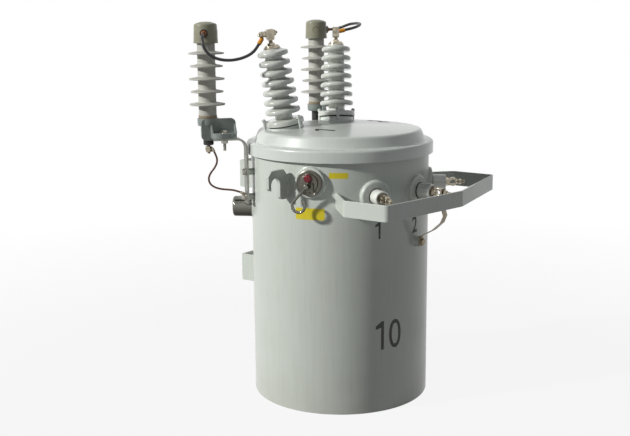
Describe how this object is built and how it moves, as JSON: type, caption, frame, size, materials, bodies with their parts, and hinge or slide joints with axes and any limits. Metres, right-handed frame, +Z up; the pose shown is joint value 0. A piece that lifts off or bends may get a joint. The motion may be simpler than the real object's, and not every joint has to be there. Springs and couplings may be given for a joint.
{
  "type": "pole mounted distribution transformer",
  "caption": "Round steel tank with a domed cover, porcelain bushings, lightning arresters on straps, a low-voltage guard bar, lifting lugs, pole hangers and a hot-stick breaker handle.",
  "frame": {"origin": "centre of the tank's lower rim, in the plane it stands on", "axes": "+Z up along the tank's axis, +Y towards the pole, -Y towards the middle low-voltage bushing"},
  "size_m": [0.598, 0.6483, 0.947],
  "materials": {
    "tank_paint": "light grey enamel",
    "porcelain": "glazed light grey",
    "white_porcelain": "glazed white",
    "polymer": "matt light grey silicone",
    "cap_plastic": "olive grey moulding",
    "bracket_plastic": "slate glass polyester",
    "black_plastic": "black",
    "galvanised": "galvanised",
    "tinned": "tinned",
    "stainless": "polished",
    "seal": "matt black",
    "lens": "deep red",
    "sleeve": "orange yellow",
    "jumper_cover": "black",
    "lead_cover": "dark copper brown"
  },
  "bodies": {
    "tank": {"arrester_body_1": "polymer", "arrester_body_2": "polymer", "arrester_bracket_1": "bracket_plastic", "arrester_bracket_2": "bracket_plastic", "arrester_cap_1": "cap_plastic", "arrester_cap_2": "cap_plastic", "arrester_disconnector_1": "black_plastic", "arrester_disconnector_2": "black_plastic", "arrester_strap_1": "galvanised", "arrester_strap_2": "galvanised", "breaker_lamp": "lens", "breaker_plate": "stainless", "cover": "tank_paint", "cover_gasket": "seal", "ground_boss": "tank_paint", "ground_lead_1": "lead_cover", "ground_lead_2": "lead_cover", "hanger_lower": "tank_paint", "hanger_upper": "tank_paint", "hv_bushing_1": "porcelain", "hv_bushing_2": "porcelain", "hv_clamps": "galvanised", "hv_gaskets": "seal", "hv_terminal_1": "tinned", "hv_terminal_2": "tinned", "jumper_1": "jumper_cover", "jumper_2": "jumper_cover", "jumper_lugs": "sleeve", "lead_lugs": "tinned", "lifting_lug_left": "tank_paint", "lifting_lug_right": "tank_paint", "lv_bosses": "tank_paint", "lv_bushing_1": "white_porcelain", "lv_bushing_2": "white_porcelain", "lv_bushing_3": "white_porcelain", "lv_gaskets": "seal", "lv_guard": "tank_paint", "lv_terminal_1": "tinned", "lv_terminal_2": "tinned", "lv_terminal_3": "tinned", "neutral_strap": "tinned", "shelf_bolts": "galvanised", "strap_bolts": "galvanised", "strap_bosses": "tank_paint", "tank_bottom": "tank_paint", "tank_wall": "tank_paint", "tap_changer_cup": "stainless"},
    "handle": {"breaker_handle": "stainless"}
  },
  "joints": [
    {"name": "breaker_handle_turn", "type": "hinge", "parent": "tank", "child": "handle", "pos_m": [-0.21551, -0.06466, 0.569], "axis": [-0.9578, -0.2874, 0], "range_deg": [0, 90]}
  ]
}
